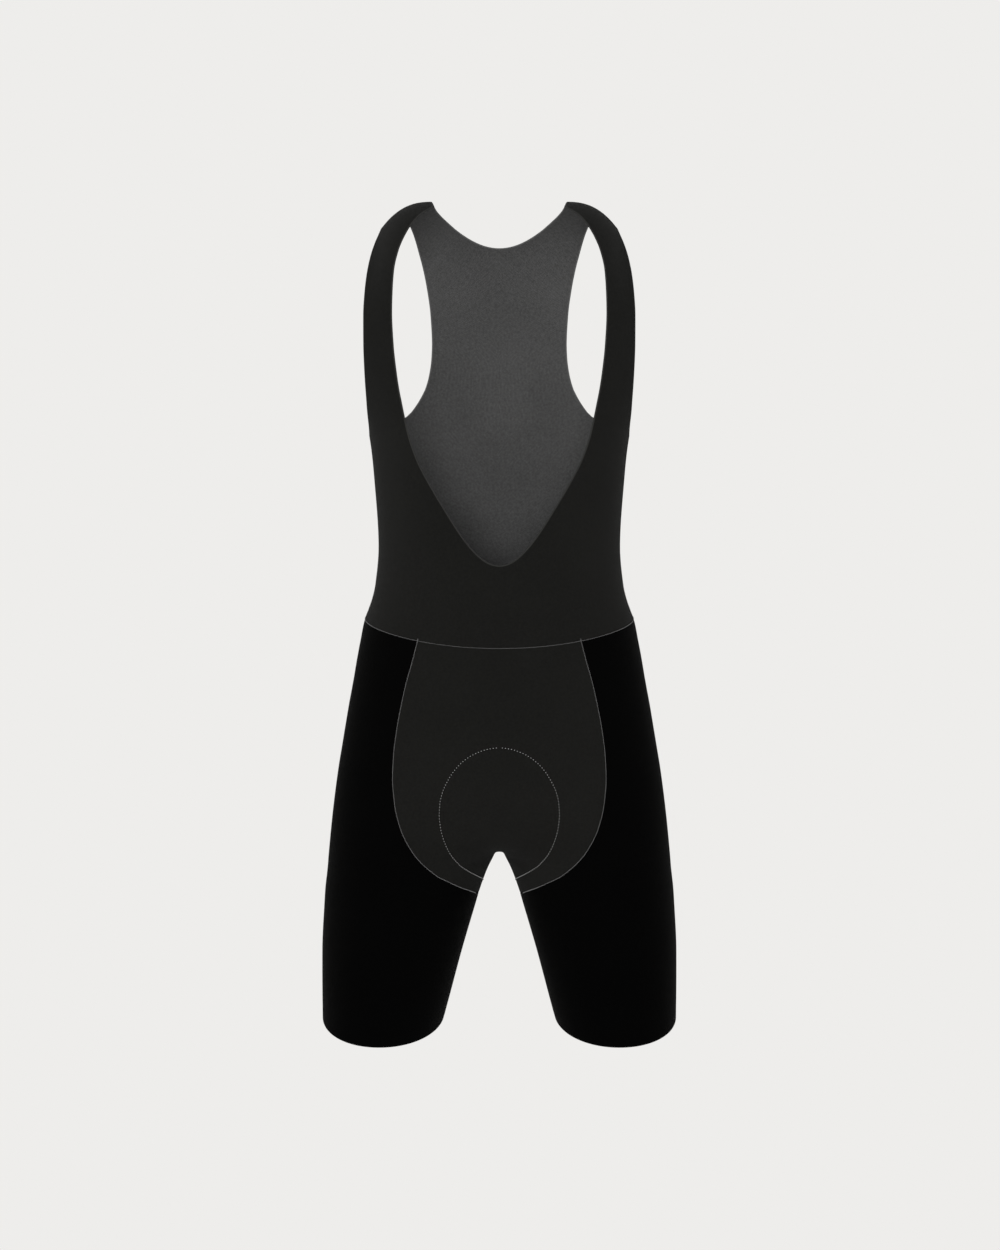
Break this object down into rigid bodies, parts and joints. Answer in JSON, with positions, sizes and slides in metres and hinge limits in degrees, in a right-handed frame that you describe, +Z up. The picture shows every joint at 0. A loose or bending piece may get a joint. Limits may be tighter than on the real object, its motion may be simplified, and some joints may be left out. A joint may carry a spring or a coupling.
{
  "type": "cycling bib shorts",
  "caption": "Worn-shape hollow cycling bib shorts with shoulder straps, a racerback, a deep front scoop and short close legs, in black, charcoal and grey knit.",
  "frame": {"origin": "between the two shoulder straps, level with the highest line of the straps, where the wearer's shoulders hold the garment", "axes": "+Z up the wearer's body, the front faces -Y, +X to the right of someone who looks at the front"},
  "size_m": [0.3842, 0.2262, 0.8835],
  "materials": {
    "charcoal_knit": "matt stretch knit",
    "grey_mesh": "matt fine mesh knit",
    "black_knit": "smooth dense stretch knit",
    "pad_cover": "brushed soft cover over foam"
  },
  "bodies": {
    "root": {"bib_front": "charcoal_knit", "back_panel": "grey_mesh", "front_panel": "charcoal_knit", "leg_panel_left": "black_knit", "leg_panel_right": "black_knit", "pad": "pad_cover"}
  },
  "joints": []
}
